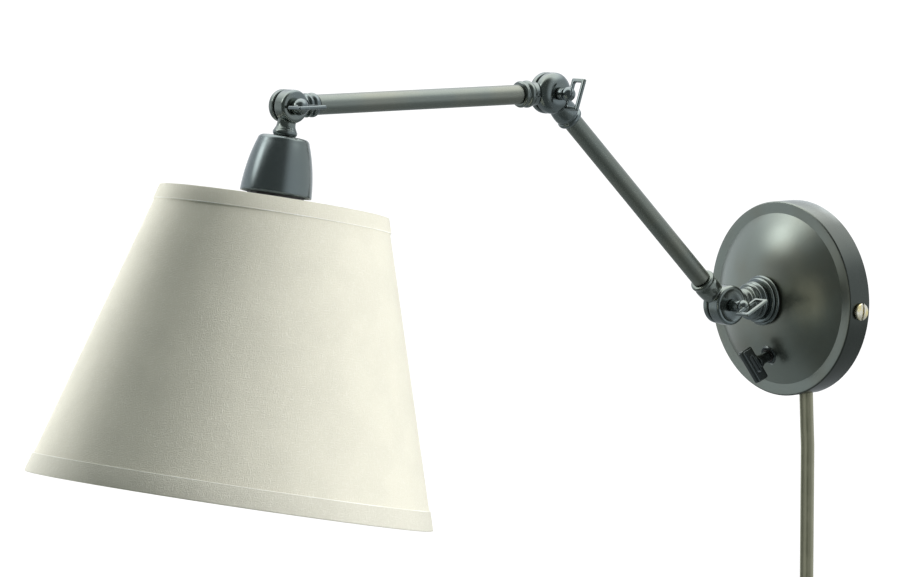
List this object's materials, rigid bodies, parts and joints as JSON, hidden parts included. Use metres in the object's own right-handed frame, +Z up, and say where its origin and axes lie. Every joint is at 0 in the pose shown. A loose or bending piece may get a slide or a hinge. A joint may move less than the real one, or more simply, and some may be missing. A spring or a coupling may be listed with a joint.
{
  "type": "wall lamp",
  "caption": "Plug-in wall lamp with a swivelling jointed arm, friction knuckles with clamp keys, a rotary switch and a tapered linen shade.",
  "frame": {"origin": "centre of the wall plate's back, in the plane of the wall, on the axis that the arm swivels about", "axes": "+Y into the wall, so the lamp reaches out along -Y; +Z up; +X to the side that the clamp keys are on"},
  "size_m": [0.23, 0.5636, 0.4989],
  "materials": {
    "gunmetal": "satin",
    "nickel": "satin",
    "zinc_steel": "satin",
    "brass": "satin",
    "fibre": "matte",
    "black_phenolic": "satin",
    "linen": "matte",
    "white_wire": "satin",
    "opal_glass": "gloss",
    "cord_vinyl": "satin",
    "connector_plastic": "satin",
    "lead_vinyl": "satin"
  },
  "bodies": {
    "wall_mount": {"wall_plate": "gunmetal", "mounting_strap": "zinc_steel", "side_screw_right": "nickel", "side_screw_left": "nickel", "hub_base": "gunmetal", "friction_washer": "fibre", "switch_body": "black_phenolic", "switch_ring_nut": "gunmetal", "cord_bushing": "black_phenolic", "wire_joint_right": "connector_plastic", "wire_joint_left": "connector_plastic", "neutral_lead": "lead_vinyl", "switched_lead": "lead_vinyl", "power_cord": "cord_vinyl", "cord_coil": "cord_vinyl", "cord_tie": "black_phenolic", "cord_tail": "cord_vinyl", "plug_body": "cord_vinyl", "plug_blade_right": "brass", "plug_blade_left": "brass"},
    "swivel": {"swivel_hub": "gunmetal", "swivel_spindle": "brass", "spindle_nut": "brass"},
    "lower_arm": {"lower_arm_foot": "gunmetal", "lower_arm_tube": "gunmetal", "lower_arm_elbow": "gunmetal", "lower_arm_lead": "lead_vinyl", "wall_joint_washer": "fibre", "elbow_washer": "fibre"},
    "upper_arm": {"upper_arm_elbow": "gunmetal", "upper_arm_tube": "gunmetal", "upper_arm_end": "gunmetal", "upper_arm_lead": "lead_vinyl"},
    "head": {"head_knuckle": "gunmetal", "head_washer": "fibre", "socket_cup": "gunmetal", "cup_nut": "zinc_steel", "socket_body": "black_phenolic", "socket_shell": "brass", "socket_contact": "brass", "bulb_cap": "zinc_steel", "bulb_glass": "opal_glass", "shade_cone": "linen", "shade_top_band": "linen", "shade_bottom_band": "linen", "shade_bottom_wire": "white_wire", "shade_spider": "white_wire", "shade_ring_nut": "black_phenolic"},
    "wall_clamp": {"wall_key": "gunmetal"},
    "elbow_clamp": {"elbow_key": "gunmetal"},
    "head_clamp": {"head_key": "gunmetal"},
    "switch_knob": {"switch_key": "gunmetal"}
  },
  "joints": [
    {"name": "base_swivel", "type": "hinge", "parent": "wall_mount", "child": "swivel", "pos_m": [0, -0.0343, 0], "axis": [0, -1, 0], "range_deg": [-170, 170]},
    {"name": "wall_knuckle", "type": "hinge", "parent": "swivel", "child": "lower_arm", "pos_m": [0, -0.0674, 0], "axis": [-1, 0, 0], "range_deg": [-60, 45]},
    {"name": "elbow", "type": "hinge", "parent": "lower_arm", "child": "upper_arm", "pos_m": [0, -0.21064, 0.13451], "axis": [1, 0, 0], "range_deg": [-120, 55]},
    {"name": "head_tilt", "type": "hinge", "parent": "upper_arm", "child": "head", "pos_m": [0, -0.40714, 0.13451], "axis": [-1, 0, 0], "range_deg": [-32, 110]},
    {"name": "wall_key_turn", "type": "hinge", "parent": "lower_arm", "child": "wall_clamp", "pos_m": [0, -0.0674, 0], "axis": [-1, 0, 0], "range_deg": [-180, 45]},
    {"name": "elbow_key_turn", "type": "hinge", "parent": "lower_arm", "child": "elbow_clamp", "pos_m": [0, -0.21064, 0.13451], "axis": [-1, 0, 0], "range_deg": [-180, 45]},
    {"name": "head_key_turn", "type": "hinge", "parent": "head", "child": "head_clamp", "pos_m": [0, -0.40714, 0.13451], "axis": [-1, 0, 0], "range_deg": [-180, 45]},
    {"name": "switch_turn", "type": "hinge", "parent": "wall_mount", "child": "switch_knob", "pos_m": [0, -0.0243, -0.0336], "axis": [0, -0.9336, -0.3584], "continuous": true}
  ]
}
